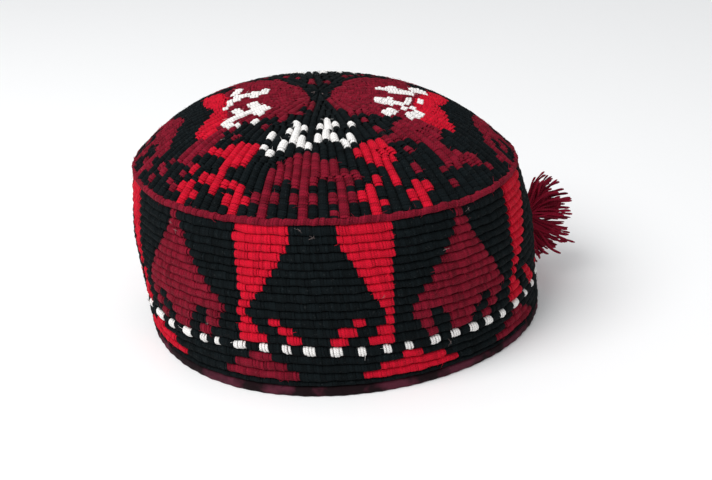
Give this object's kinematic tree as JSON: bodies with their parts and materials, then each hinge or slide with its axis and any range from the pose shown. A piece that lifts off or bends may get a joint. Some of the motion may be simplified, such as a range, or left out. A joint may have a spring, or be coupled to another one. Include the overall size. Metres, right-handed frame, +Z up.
{
  "type": "tubeteika skullcap",
  "caption": "Soft corded skullcap with a ribbed side, a domed ribbed crown, a cord along the crease, a bound hem and a yarn tassel.",
  "frame": {"origin": "middle of the whole cap's box, tassel included, on the surface that the hem stands on", "axes": "+Z up through the crown, -Y towards the front of the cap, +X towards the tassel's side"},
  "size_m": [0.21, 0.1846, 0.1045],
  "materials": {
    "side_yarn": "matt wool yarn wrapped over cords, black with red and white pattern",
    "crown_yarn": "matt wool yarn wrapped over radiating cords, dark red, black, bright red and white",
    "piping_yarn": "dark red yarn wrapped round a cord",
    "hem_cloth": "smooth dark wine cloth binding",
    "tassel_yarn": "loose dark red twisted yarn"
  },
  "bodies": {
    "root": {"hem_binding": "hem_cloth", "side_band": "side_yarn", "crown_piping": "piping_yarn", "crown_top": "crown_yarn", "tassel": "tassel_yarn"}
  },
  "joints": []
}
